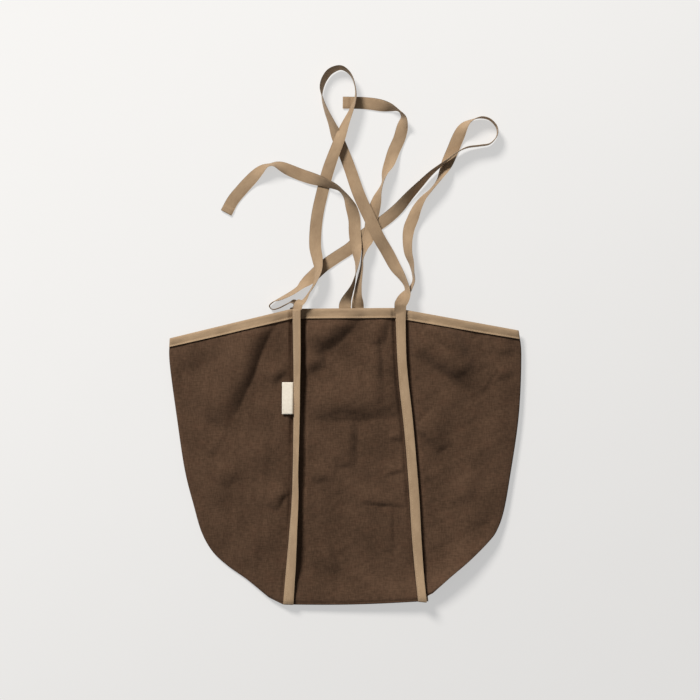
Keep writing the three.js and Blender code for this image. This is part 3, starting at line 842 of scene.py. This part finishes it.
BACK_TIE_ROUTE = [
    (0.017, 0.1943, 0.0014, 0), (0.017, 0.1985, 0.0016, 3), (0.017, 0.2055, 0.0038, 22),
    (0.017, 0.2141, 0.0064, 46), (0.018, 0.2261, 0.0078, 58), (0.02, 0.2381, 0.0084, 68),
    (0.022, 0.25, 0.0088, 76), (0.023, 0.262, 0.009, 80), (0.026, 0.274, 0.0086, 62),
    (0.0295, 0.2859, 0.0056, 20), (0.033, 0.2979, 0.0032, 6), (0.035, 0.3112, 0.0024, 2),
    (0.038, 0.3245, 0.0026, 10), (0.042, 0.3392, 0.0054, 36), (0.046, 0.3518, 0.0082, 68),
    (0.05, 0.3631, 0.0088, 82), (0.053, 0.3751, 0.0078, 60), (0.059, 0.389, 0.0044, 28),
    (0.065, 0.4057, 0.0018, 8), (0.072, 0.4216, 0.001, 2), (0.076, 0.4362, 0.0032, 18),
    (0.078, 0.4482, 0.0076, 62), (0.072, 0.4575, 0.0089, 90), (0.062, 0.4624, 0.0078, 62),
    (0.049, 0.4655, 0.0046, 26), (0.035, 0.4682, 0.0017, 5), (0.02, 0.4695, 0.0009, 0),
    (-0.003, 0.4698, 0.0009, 0),
]


def strap_frame(route, steps):
    """Points along a route with the directions across the strap and out of its face: level with the
    floor and square to the route, then rolled by the route's angle about its own line."""
    t = np.linspace(0, 1, steps)
    path = through([point[:3] for point in route], t)
    roll = np.radians(through([point[3:] for point in route], t))
    heading = unit(np.gradient(path, axis=0))
    level = unit(np.cross(heading, (0.0, 0.0, 1.0)))
    raised = unit(np.cross(level, heading))
    wide = level * np.cos(roll) + raised * np.sin(roll)
    out = raised * np.cos(roll) - level * np.sin(roll)
    return path, wide, out


def strap_ring(path, wide, out, tucked):
    """A flat ring with rounded edges, sunk a little along the row of sewing near each edge. It is
    drawn in at both ends where these are tucked into other tape, and else doubled upwards by a hem
    at its far end."""
    ends = np.minimum(np.arange(len(path)), np.arange(len(path))[::-1])
    drawn_in = 1 - TUCK_NARROWING * tucked * bell(ends, TUCK_STEPS)[:, None, None]
    left = np.linalg.norm(path - path[-1], axis=1)[:, None]
    doubled = HEM_FOLD * (1 - tucked) * (1 - ramp(left, HEM - HEM_STEP, HEM))
    share = np.linspace(-1, 1, 17)
    half = STRAP_THICKNESS / 2 * (1 - share**8) ** 0.5
    half = half - SEWN_DIP * bell(np.abs(share) - SEWN, SEWN_REACH)
    across_it = np.concatenate([share, share[::-1]]) * STRAP_WIDTH / 2
    up = (np.concatenate([half, -half]) * (1 + doubled))[..., None]
    middle = path + doubled * (0, 0, STRAP_THICKNESS / 2)
    return middle[:, None] + wide[:, None] * across_it[:, None] * drawn_in + out[:, None] * up


def in_fin(rows, row):
    """The middle of a seam tape at one of its rows, and the angle at which it stands there."""
    run = rows[row, FIN_COLUMNS - 1] - rows[row, 0]
    return (*rows[row].mean(axis=0), math.degrees(math.atan2(run[2], run[0])))


left_root = [in_fin(seam_rows["front", "left"], row) for row in FIN_ROWS]
right_root = [in_fin(seam_rows["front", "right"], row) for row in FIN_ROWS[::-1]]
right_root = [(x, y, z, 180 - roll) for x, y, z, roll in right_root]
STRAPS = [
    ("front_handle", left_root + LEFT_RISE + FRONT_HANDLE_ROUTE[4:-1] + right_root, 0.735, "object"),
    ("back_handle", BACK_HANDLE_ROUTE, 0.768, "object"),
    ("front_tie", FRONT_TIE_ROUTE, 0.358, "bare"),
    ("back_tie", BACK_TIE_ROUTE, 0.356, "bare"),
]
for name, route, length, far_end in STRAPS:
    path, wide, out = strap_frame(route, STRAP_STEPS * len(route))
    rows = strap_ring(path, wide, out, tucked=far_end == "object")
    strap = ring_mesh(f"{name}_strap", rows, ring_uv(rows), tape)
    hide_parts(name)
    side = STRAP_WIDTH / 2 * SEWN
    rise = STRAP_THICKNESS / 2 + SEWN_PROUD
    pieces = [strap] + [
        sewing(f"{name}_{edge}_sewing", path + wide * offset, path, rise)
        for edge, offset in (("near", -side), ("far", side))
    ]
    if far_end == "bare":
        row = np.argmin(np.abs(np.linalg.norm(path - path[-1], axis=1) - (HEM - HEM_SEWN)))
        line = path[row] + wide[row] * np.linspace(-1, 1, 30)[:, None] * STRAP_WIDTH / 2
        extra = HEM_FOLD * STRAP_THICKNESS / 2
        line[:, 2] += extra
        beside = line + path[row] - path[row - 1]
        pieces.append(sewing(f"{name}_hem_sewing", line, beside, rise + extra))
    wall = name.split("_")[0] + "_wall"
    for item in pieces:
        if name in BENDS:
            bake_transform(item)
        else:
            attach(item, wall)
